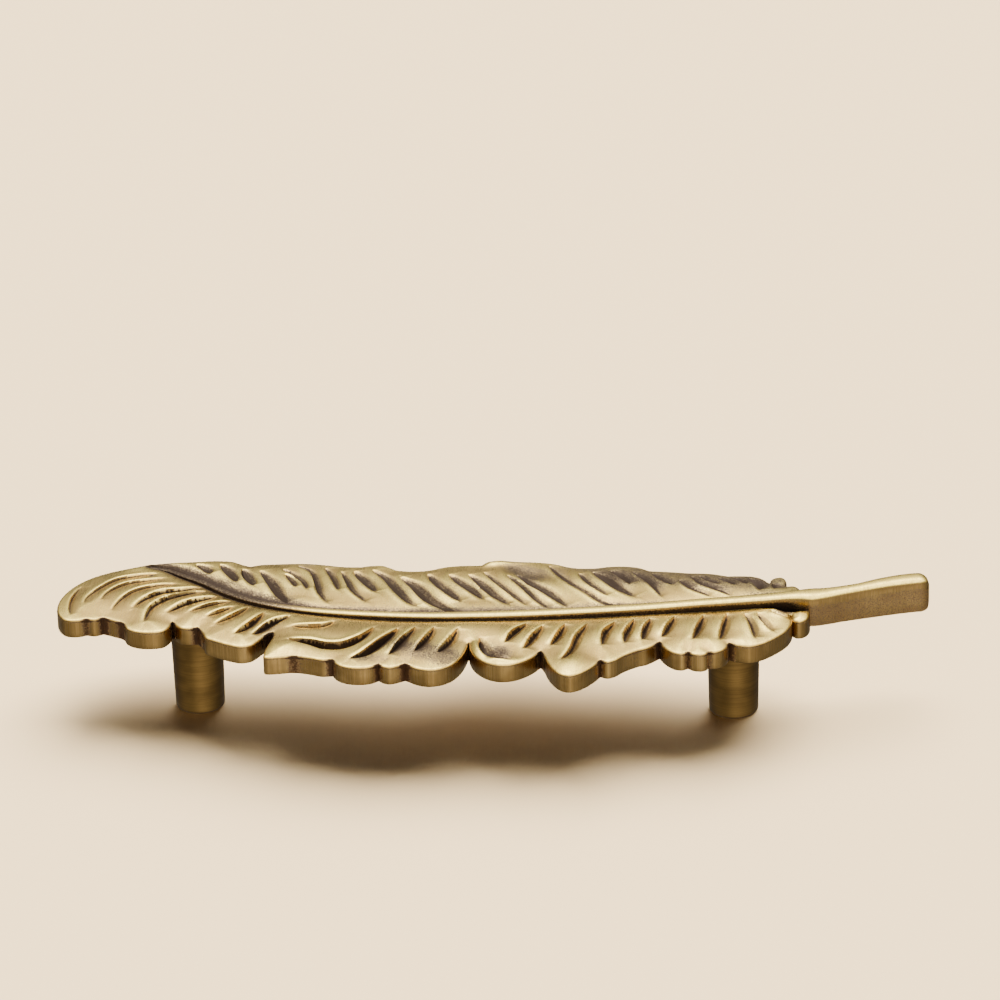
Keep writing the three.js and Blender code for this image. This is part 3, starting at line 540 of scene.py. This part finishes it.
def plate_mesh():
    """The plate's closed skin: rounded rims, walls, the carved face and the flat back."""
    def ring(inset, z):
        return np.column_stack([EDGE + INWARD * inset, np.full(len(EDGE), z)])

    turns = [math.radians(a) for a in (0, 30, 60, 90)]
    rings = []
    for a in turns:
        rings.append(ring(BACK_ROUNDING * (1 - math.sin(a)), BACK_LEVEL + BACK_ROUNDING * (1 - math.cos(a))))
    for z in WALL_LEVELS:
        rings.append(ring(0, z))
    for a in turns[:3]:
        rings.append(ring(RIM_ROUNDING * (1 - math.cos(a)), RIM_LEVEL - RIM_ROUNDING * (1 - math.sin(a))))
    count = len(EDGE)
    last = EDGE + INWARD * RIM_ROUNDING * 1.02
    xs = np.arange(EDGE[:, 0].min(), EDGE[:, 0].max(), GRID_STEP)
    ys = np.arange(EDGE[:, 1].min(), EDGE[:, 1].max(), GRID_STEP * 0.866)
    grid = np.array([(x + (j % 2) * GRID_STEP / 2, y) for j, y in enumerate(ys) for x in xs])
    grid = grid[inside(grid, EDGE)]
    to_edge, _, _ = nearest(grid, EDGE, closed=True)
    grid = grid[to_edge > RIM_ROUNDING + GRID_STEP * 0.6]
    lines = cut_points()
    lines = thinned(lines[inside(lines, EDGE)], 0.1)
    lines = apart(lines, last, 0.3)
    grid = apart(grid, lines, 0.15)
    plan = np.vstack([last, lines, grid])
    border = [(i, (i + 1) % count) for i in range(count)]
    made, _, triangles, came_from, _, _ = delaunay_2d_cdt([Vector(p) for p in plan], border, [], 1, 1e-7)
    made = np.array([tuple(p) for p in made])
    height, wax, to_edge = carved_height(made)
    to_quill, _, side = nearest(made, QUILL)
    stations = np.array([(place[0], width) for place, _, width in QUILL_STATIONS])
    # Painted shade along the quill's foot, with the patina of its crease.
    from_foot = to_quill - np.interp(made[:, 0], stations[:, 0], stations[:, 1] / 2)
    reach = np.where(side > 0, BACK_FOOT_REACH, FRONT_FOOT_REACH)
    quill_foot_shade = np.where(side > 0, BACK_FOOT_SHADE, FRONT_FOOT_SHADE)
    quill_foot_shade = quill_foot_shade * np.exp(-((np.maximum(from_foot, 0) / reach) ** 2))
    below, above = relief(made)
    # Painted shade on the back vane along its edge.
    back_edge_shade = np.where(side > 0, BACK_EDGE_SHADE, 0) * np.exp(-((to_edge / BACK_EDGE_REACH) ** 2))
    # Patina patches with painted shade among them, capped, the painted shade along the back edge, and the
    # painted shade in the pit.
    stains_and_shade = np.minimum(patches(made, STAINS_AND_SHADE) + back_edge_shade, STAINS_AND_SHADE_LIMIT) + patches(made, PITS)
    # Patina in the cuts and hollows, with the painted shade mixed in.
    patina_and_shade = np.clip(np.maximum(wax, below) + quill_foot_shade + stains_and_shade, 0, 1)
    crest = np.clip(above - 0.4 * quill_foot_shade, 0, 1)
    base = len(rings) * count
    vertices = np.vstack([*rings, np.column_stack([made, height])])
    faces = []
    for r in range(len(rings) - 1):
        for i in range(count):
            j = (i + 1) % count
            faces.append((r * count + i, r * count + j, (r + 1) * count + j, (r + 1) * count + i))
    top_of = {old: new for new, olds in enumerate(came_from) for old in olds if old < count}
    for i in range(count):
        j = (i + 1) % count
        start = (len(rings) - 1) * count
        faces.append((start + i, start + j, base + top_of[j], base + top_of[i]))
    faces += [tuple(base + v for v in triangle) for triangle in triangles]
    _, _, lid, _, _, _ = delaunay_2d_cdt([Vector(p[:2]) for p in rings[0]], border, [], 1, 1e-7)
    faces += [tuple(reversed(triangle)) for triangle in lid]
    hollow = concavity()
    brow = np.clip(hollow + BROW_SHADE, 0, 1)
    shade = np.concatenate([np.tile(hollow, len(rings) - 3), brow, hollow, hollow, patina_and_shade])
    bright = np.concatenate([np.zeros(len(rings) * count), crest])
    return vertices, faces, shade, bright


def concavity():
    """How much the wall turns into a notch at each point of the edge, from 0 to 1."""
    reach = 4
    before, after = np.roll(EDGE, reach, axis=0), np.roll(EDGE, -reach, axis=0)
    bulge = (((before + after) / 2 - EDGE) * INWARD).sum(1)
    hollow = np.clip((-bulge - 0.04) / 0.3, 0, 1)
    kernel = np.array([1, 2, 3, 2, 1]) / 9
    padded = np.concatenate([hollow[-2:], hollow, hollow[:2]])
    return np.convolve(padded, kernel, mode="valid")


def quill_mesh():
    """The quill and the stem as one bar, with a rounded top and a rounded end."""
    places = smooth_line([place for place, _, _ in QUILL_STATIONS], 0.3)
    x = places[:, 0]
    at = [place[0] for place, _, _ in QUILL_STATIONS]
    rise = np.interp(x, at, [s[1] for s in QUILL_STATIONS])
    width = np.interp(x, at, [s[2] for s in QUILL_STATIONS])
    kernel = np.ones(7) / 7
    rise = np.convolve(np.pad(rise, 3, mode="edge"), kernel, mode="valid")
    width = np.convolve(np.pad(width, 3, mode="edge"), kernel, mode="valid")
    stem = eased(np.clip((x - STEM_FROM) / (STEM_FULL - STEM_FROM), 0, 1))
    step = np.gradient(places, axis=0)
    step /= np.hypot(*step.T)[:, None]
    vertices, shade = [], []
    along = np.concatenate([[0], np.cumsum(np.hypot(*np.diff(places, axis=0).T))])
    from_end = along[-1] - along
    arc = [math.radians(a) for a in range(0, 181, 12)]
    flatness = 0.72
    scratches = np.random.default_rng(7).random(len(places))
    worn_tip = np.clip((-22 - x) / 14, 0, 1) * WORN_TIP
    rootward = np.clip((x - 35) / 15, 0, 1)
    for i, (px, py) in enumerate(places):
        gone = max(0, 1 - from_end[i] / STEM_END_RADIUS)
        inset = STEM_END_RADIUS * (1 - math.sqrt(max(0, 1 - gone * gone))) * 0.8
        half = width[i] / 2 - inset
        crown = (1 - stem[i]) * min(0.3 * width[i], 0.7 * (rise[i] + VALLEY_DEPTH)) + stem[i] * STEM_CROWN
        top = RIM_LEVEL + rise[i] - inset
        bottom = BACK_LEVEL + (1 - stem[i]) * 1.2 + inset * 0.5
        ease = 0.1 + 0.3 * stem[i]
        splay = (1 - stem[i]) * 0.3
        foot = RIM_LEVEL - VALLEY_DEPTH
        section = [(-half - splay, bottom + ease), (-half + ease * 0.3, bottom + ease * 0.3),
                   (-half + ease, bottom), (half - ease, bottom),
                   (half - ease * 0.3, bottom + ease * 0.3), (half + splay, bottom + ease)]
        flank = []
        for k in (0, 0.25, 0.5, 0.75):
            flank.append((half + splay * (1 - k) * 0.8, foot + (top - crown - foot) * k))
        section += flank
        section += [(half * math.copysign(abs(math.cos(a)) ** flatness, math.cos(a)),
                     top - crown + crown * math.sin(a) ** flatness) for a in arc]
        section += [(-side, z) for side, z in reversed(flank)]
        left = np.array([-step[i, 1], step[i, 0]])
        for k, (side, z) in enumerate(section):
            vertices.append((px + left[0] * side, py + left[1] * side, z))
            up_flank = (z - foot) / (rise[i] + VALLEY_DEPTH)
            haze = (HAZE + HAZE_GAIN * rootward[i]) * np.clip((0.78 - up_flank) / 0.25, 0, 1)
            reach = 0.08 + (0.5 * scratches[i] ** 1.5 if side < 0 else 0.1)
            tick = np.clip((reach + 0.08 - up_flank) / 0.16, 0, 1) * TICK_SHADE
            stem_side = STEM_SIDE_SHADE * stem[i] * np.clip((top - crown - z) / 0.6, 0, 1)
            shade.append(min(1, (max(haze, tick) + worn_tip[i]) * (1 - stem[i]) + stem_side))
    ring = len(section)
    count = len(places)
    faces = []
    for i in range(count - 1):
        for k in range(ring):
            m = (k + 1) % ring
            faces.append((i * ring + k, i * ring + m, (i + 1) * ring + m, (i + 1) * ring + k))
    faces.append(tuple(reversed(range(ring))))
    faces.append(tuple((count - 1) * ring + k for k in range(ring)))
    shade = np.array(shade)
    return np.array(vertices), faces, shade, CREST_OF_QUILL * (1 - np.clip(shade * 2, 0, 1))


def new_object(name, vertices, faces, shade, bright, material, sharp=40):
    """A smooth-shaded object from millimetres in the drawing's frame, with its shades as attributes."""
    mesh = bpy.data.meshes.new(name)
    placed = np.asarray(vertices, float) * MM + np.array(MIDDLE)
    placed = np.clip(placed, np.array(solid_box[0]), np.array(solid_box[1]))
    mesh.from_pydata(placed.tolist(), [], [tuple(int(v) for v in f) for f in faces])
    mesh.update()
    for layer_name, values in (("patina_and_shade", shade), ("crest", bright)):
        layer = mesh.attributes.new(layer_name, "FLOAT", "POINT")
        layer.data.foreach_set("value", np.asarray(values, np.float32))
    mesh.materials.append(material)
    thing = bpy.data.objects.new(name, mesh)
    bpy.context.scene.collection.objects.link(thing)
    mesh.shade_smooth()
    mesh.set_sharp_from_angle(angle=math.radians(sharp))
    return thing


def post_mesh(centre_x):
    """A turned post round its axis, with the tapped hole and its thread."""
    sides = 96
    core, thread = 1.65, 0.35
    profile = [(0, 12), (core, 11.1)]
    pitch, mouth, depth = 0.7, 0.8, 10.6
    steps = int((depth - mouth) / pitch * 6)
    for k in range(steps + 1):
        z = depth - (depth - mouth) * k / steps
        ridge = abs(((depth - z) / pitch) % 1 - 0.5) * 2
        profile.append((core + thread * ridge, z))
    profile += [(2.05, 0.5), (2.3, 0)]
    foot, top = 4.4, 4.7
    rounding = 0.6
    for a in (0, 15, 30, 45, 60, 75, 90):
        t = math.radians(a)
        profile.append((foot - rounding * (1 - math.sin(t)), rounding * (1 - math.cos(t))))
    for z in (3, 6, 9, 12, 14.5, 15.7):
        profile.append((foot + (top - foot) * z / BACK_LEVEL, z))
    head = BACK_LEVEL - 0.02
    profile += [(top - 0.05, head), (0, head)]
    vertices, shade = [], []
    for r, z in profile:
        for s in range(sides):
            angle = 2 * math.pi * s / sides
            vertices.append((centre_x + r * math.cos(angle), r * math.sin(angle), z))
            # Dark inside the tapped hole; towards the top, a painted shadow of the plate.
            shade.append(1 if r < 2.4 and z > 0.3 else max(0, (z - 14.6) / 1.4) ** 2)
    faces = []
    for p in range(len(profile) - 1):
        for s in range(sides):
            t = (s + 1) % sides
            faces.append((p * sides + s, (p + 1) * sides + s, (p + 1) * sides + t, p * sides + t))
    return vertices, [tuple(reversed(f)) for f in faces], shade, np.zeros(len(shade))


class Graph:
    """A material's nodes, with short ways to add and join them."""

    def __init__(self, name):
        self.material = bpy.data.materials.new(name)
        self.material.use_nodes = True
        self.nodes = self.material.node_tree.nodes
        self.links = self.material.node_tree.links
        self.shader = self.nodes["Principled BSDF"]

    def put(self, socket, value):
        if isinstance(value, bpy.types.NodeSocket):
            self.links.new(value, socket)
        elif value is not None:
            socket.default_value = value

    def node(self, kind, inputs=None, **settings):
        node = self.nodes.new(kind)
        for key, value in settings.items():
            setattr(node, key, value)
        for key, value in (inputs or {}).items():
            self.put(node.inputs[key], value)
        return node

    def math(self, operation, a, b=None, clamp=False):
        inputs = {0: a} if b is None else {0: a, 1: b}
        return self.node("ShaderNodeMath", inputs, operation=operation, use_clamp=clamp).outputs[0]

    def place(self, scale):
        """Object coordinates, so many units a metre along each axis."""
        where = self.node("ShaderNodeTexCoord").outputs["Object"]
        return self.node("ShaderNodeMapping", {"Vector": where, "Scale": scale}).outputs[0]

    def noise(self, scale, detail=4.0, roughness=0.55):
        settings = {"Vector": self.place(scale), "Scale": 1.0, "Detail": detail, "Roughness": roughness}
        return self.node("ShaderNodeTexNoise", settings).outputs["Fac"]

    def spread(self, value, low, high, to_low=0.0, to_high=1.0):
        """A value's stretch from low to high, spread from one number to another, smoothly."""
        inputs = {"Value": value, 1: low, 2: high, 3: to_low, 4: to_high}
        return self.node("ShaderNodeMapRange", inputs, interpolation_type="SMOOTHSTEP").outputs[0]

    def mix(self, share, a, b):
        node = self.node("ShaderNodeMix", data_type="RGBA")
        self.put(node.inputs["Factor"], share)
        self.put(node.inputs[6], a)
        self.put(node.inputs[7], b)
        return node.outputs[2]

    def attribute(self, name):
        return self.node("ShaderNodeAttribute", attribute_name=name).outputs["Fac"]

    def facing_up(self):
        normal = self.node("ShaderNodeNewGeometry").outputs["Normal"]
        return self.node("ShaderNodeSeparateXYZ", {0: normal}).outputs[2]

    def bump(self, height, strength, distance, under=None):
        inputs = {"Height": height, "Strength": strength, "Distance": distance, "Normal": under}
        return self.node("ShaderNodeBump", inputs).outputs[0]


def cast_brass():
    """Antique brass: a pale satin face, dark tarnish in the cuts with painted shade in places, and a browner
    rim brushed upright, its darker tone partly painted shade.
    """
    g = Graph("cast_brass")
    # Patina from the mesh, with painted shade beside the quill, along the back edge, in the pit and among
    # the patches.
    patina_and_shade = g.attribute("patina_and_shade")
    upward = g.spread(g.facing_up(), 0.3, 0.8)
    upright_grain = g.noise((2600, 2600, 90), detail=3)
    level_grain = g.noise((1500, 260, 1500), detail=3)
    grain = g.node("ShaderNodeMix", {"Factor": upward, 2: upright_grain, 3: level_grain}).outputs[0]
    speckle = g.noise((4200, 4200, 4200), detail=2)
    clouds = g.noise((120, 160, 200), detail=3)
    crest = g.attribute("crest")
    patina_and_shade_sum = g.math("ADD", patina_and_shade, g.math("MULTIPLY", g.math("SUBTRACT", speckle, 0.5), 0.9))
    patina_and_shade_sum = g.math("ADD", patina_and_shade_sum, g.math("MULTIPLY", g.math("SUBTRACT", clouds, 0.5), 0.3))
    tarnish_and_shade = g.spread(patina_and_shade_sum, 0.12, 0.85)
    face = g.mix(g.spread(clouds, 0.35, 0.68), (0.62, 0.43, 0.12, 1), (0.49, 0.332, 0.093, 1))
    face = g.mix(g.spread(crest, 0.05, 0.6), face, (1.0, 0.77, 0.2, 1))
    face = g.mix(g.spread(speckle, 0.4, 0.75, 0.0, 0.45), face, (0.3, 0.18, 0.06, 1))
    rim = g.mix(g.spread(clouds, 0.4, 0.6), (0.58, 0.37, 0.135, 1), (0.42, 0.26, 0.09, 1))
    # Upright faces take the browner rim tone: partly the rim's finish, partly painted shade.
    bright = g.mix(upward, rim, face)
    streaks = g.math("MULTIPLY", g.spread(grain, 0.3, 0.72, 0.0, 0.5), g.spread(upward, 0, 1, 0.75, 0.55))
    bright = g.mix(streaks, bright, (0.2, 0.125, 0.045, 1))
    # Painted shade: the wax is darker on upright faces.
    wax = g.mix(upward, (0.05, 0.029, 0.02, 1), (0.08, 0.044, 0.026, 1))
    dulled_tone = g.mix(g.spread(tarnish_and_shade, 0, 0.5), bright, (0.25, 0.178, 0.105, 1))
    g.put(g.shader.inputs["Base Color"], g.mix(g.spread(tarnish_and_shade, 0.35, 1), dulled_tone, wax))
    roughness = g.math("ADD", g.spread(grain, 0.2, 0.8, 0.22, 0.34), g.math("MULTIPLY", tarnish_and_shade, 0.2))
    g.put(g.shader.inputs["Roughness"], roughness)
    g.put(g.shader.inputs["Metallic"], g.spread(tarnish_and_shade, 0.15, 0.85, 1.0, 0.12))
    g.shader.inputs["Specular IOR Level"].default_value = 0.12
    rough_relief = g.bump(grain, 0.35, 0.00006)
    rough_relief = g.bump(speckle, 0.35, 0.00005, rough_relief)
    g.put(g.shader.inputs["Normal"], rough_relief)
    return g.material


def turned_brass():
    """Darker brass with the fine rings that a lathe leaves, its darkness partly painted shade from the plate
    above.
    """
    g = Graph("turned_brass")
    # Darkness from the mesh: inside the hole, and the painted shadow at the top.
    patina_and_shade = g.attribute("patina_and_shade")
    rings = g.noise((60, 60, 3600), detail=3)
    clouds = g.noise((150, 150, 260), detail=3)
    # The darker tone is partly painted shade from the plate above.
    tone = g.mix(g.spread(clouds, 0.35, 0.65), (0.3, 0.18, 0.058, 1), (0.21, 0.125, 0.041, 1))
    tone = g.mix(g.spread(rings, 0.35, 0.7, 0.0, 0.35), tone, (0.1, 0.06, 0.019, 1))
    g.put(g.shader.inputs["Base Color"], g.mix(g.spread(patina_and_shade, 0.1, 0.9), tone, (0.03, 0.018, 0.01, 1)))
    g.put(g.shader.inputs["Roughness"], g.spread(rings, 0.2, 0.8, 0.3, 0.44))
    g.shader.inputs["Metallic"].default_value = 1
    g.put(g.shader.inputs["Normal"], g.bump(rings, 0.4, 0.00005))
    return g.material


def pale_floor():
    """A matt beige sweep, very slightly uneven."""
    g = Graph("pale_floor")
    clouds = g.noise((6, 6, 6), detail=2)
    g.put(g.shader.inputs["Base Color"], g.mix(clouds, (0.825, 0.64, 0.385, 1), (0.84, 0.65, 0.395, 1)))
    g.put(g.shader.inputs["Roughness"], g.spread(clouds, 0.3, 0.7, 0.85, 0.92))
    g.shader.inputs["Specular IOR Level"].default_value = 0.1
    return g.material


def floor():
    """A flat sweep far wider than the view, which the brass doesn't mirror."""
    sweep = bpy.data.meshes.new("floor")
    reach = 4
    corners = [(-reach, -reach, 0), (reach, -reach, 0), (reach, reach, 0), (-reach, reach, 0)]
    sweep.from_pydata(corners, [], [(0, 1, 2, 3)])
    sweep.materials.append(pale_floor())
    thing = bpy.data.objects.new("floor", sweep)
    bpy.context.scene.collection.objects.link(thing)
    thing.visible_glossy = False
    return thing


def camera():
    """The photograph's camera: its place, how it is turned, and its lens."""
    pitch, turn, roll = math.radians(24.112), math.radians(4.51), math.radians(-1.5)
    back = Vector((math.sin(turn) * math.cos(pitch), -math.cos(turn) * math.cos(pitch), math.sin(pitch)))
    right = Vector((math.cos(turn), math.sin(turn), 0))
    up = back.cross(right)
    rolled_right = right * math.cos(roll) + up * math.sin(roll)
    rolled_up = up * math.cos(roll) - right * math.sin(roll)
    data = bpy.data.cameras.new("camera")
    data.lens = 169.2
    data.sensor_width = 36
    data.clip_end = 50
    thing = bpy.data.objects.new("camera", data)
    matrix = Matrix((rolled_right, rolled_up, back)).transposed().to_4x4()
    matrix.translation = MIDDLE + Vector((66.42, -752.48, 378.44)) * MM
    thing.matrix_world = matrix
    bpy.context.scene.collection.objects.link(thing)
    bpy.context.scene.camera = thing


def sun(name, elevation, azimuth, strength, spread, colour, only=None):
    """A soft light from far away; azimuth 0 is behind the pull, and grows towards +X."""
    data = bpy.data.lights.new(name, "SUN")
    data.energy = strength
    data.angle = math.radians(spread)
    data.color = colour
    thing = bpy.data.objects.new(name, data)
    e, a = math.radians(elevation), math.radians(azimuth)
    towards = Vector((math.sin(a) * math.cos(e), math.cos(a) * math.cos(e), math.sin(e)))
    thing.rotation_euler = towards.to_track_quat("Z", "Y").to_euler()
    thing.location = towards
    bpy.context.scene.collection.objects.link(thing)
    if only:
        lit = bpy.data.collections.new(name + "_lights")
        lit.objects.link(only)
        thing.light_linking.receiver_collection = lit


def studio(sweep):
    """A pale room, brightest high up behind the pull, with lamps for the floor and a soft key light."""
    world = bpy.data.worlds.new("studio")
    bpy.context.scene.world = world
    world.use_nodes = True
    nodes, links = world.node_tree.nodes, world.node_tree.links
    where = nodes.new("ShaderNodeTexCoord")
    axes = nodes.new("ShaderNodeSeparateXYZ")
    links.new(where.outputs["Generated"], axes.inputs[0])
    rise = nodes.new("ShaderNodeMapRange")
    links.new(axes.outputs[2], rise.inputs["Value"])
    rise.inputs[1].default_value = -1
    shares = []
    for heights in (BEHIND, IN_FRONT):
        ramp = nodes.new("ShaderNodeValToRGB")
        shares.append(ramp)
        links.new(rise.outputs[0], ramp.inputs[0])
        stops = ramp.color_ramp.elements
        while len(stops) < len(heights):
            stops.new(0.5)
        for stop, (z, level) in zip(stops, heights):
            stop.position = (z + 1) / 2
            stop.color = (level / BRIGHTEST,) * 3 + (1,)
    backness = nodes.new("ShaderNodeMapRange")
    backness.interpolation_type = "SMOOTHSTEP"
    links.new(axes.outputs[1], backness.inputs["Value"])
    backness.inputs[1].default_value = -BACK_BLEND
    backness.inputs[2].default_value = BACK_BLEND
    off_band = nodes.new("ShaderNodeMath")
    off_band.operation = "SUBTRACT"
    links.new(axes.outputs[0], off_band.inputs[0])
    off_band.inputs[1].default_value = BAND_CENTRE
    away = nodes.new("ShaderNodeMath")
    away.operation = "ABSOLUTE"
    links.new(off_band.outputs[0], away.inputs[0])
    band = nodes.new("ShaderNodeMapRange")
    band.interpolation_type = "SMOOTHSTEP"
    links.new(away.outputs[0], band.inputs["Value"])
    band.inputs[2].default_value = BAND_REACH
    band.inputs[3].default_value = BAND_LEVEL
    band.inputs[4].default_value = OFF_BAND_LEVEL
    front = nodes.new("ShaderNodeMix")
    front.data_type = "RGBA"
    front.blend_type = "MULTIPLY"
    front.inputs["Factor"].default_value = 1
    links.new(shares[1].outputs["Color"], front.inputs[6])
    links.new(band.outputs[0], front.inputs[7])
    blend = nodes.new("ShaderNodeMix")
    blend.data_type = "RGBA"
    links.new(backness.outputs[0], blend.inputs["Factor"])
    links.new(front.outputs[2], blend.inputs[6])
    links.new(shares[0].outputs["Color"], blend.inputs[7])
    tint = nodes.new("ShaderNodeMix")
    tint.data_type = "RGBA"
    tint.blend_type = "MULTIPLY"
    tint.inputs["Factor"].default_value = 1
    tint.inputs[7].default_value = ROOM_TINT
    links.new(blend.outputs[2], tint.inputs[6])
    background = nodes["Background"]
    background.inputs["Strength"].default_value = BRIGHTEST
    links.new(tint.outputs[2], background.inputs["Color"])
    world.cycles_visibility.diffuse = False
    for name, aim in FLOOR_LAMPS.items():
        sun(name, *aim, LAMP_COLOUR, only=sweep)
    sun("key", 60, -14, 0.8, 36, KEY_COLOUR)


def build():
    """The plate with its quill, and the two posts, each tied to the solid it stands for."""
    brass, post_brass = cast_brass(), turned_brass()
    plate = new_object("feather", *plate_mesh(), brass)
    quill = new_object("quill", *quill_mesh(), brass)
    for piece in (plate, quill):
        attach(piece, "root")
    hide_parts("feather_plate")
    for name, x in (("tip_post", -HOLE_SPACING / 2), ("root_post", HOLE_SPACING / 2)):
        post = new_object("turned_" + name, *post_mesh(x), post_brass)
        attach(post, "root")
        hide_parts(name)


camera()
studio(floor())
build()
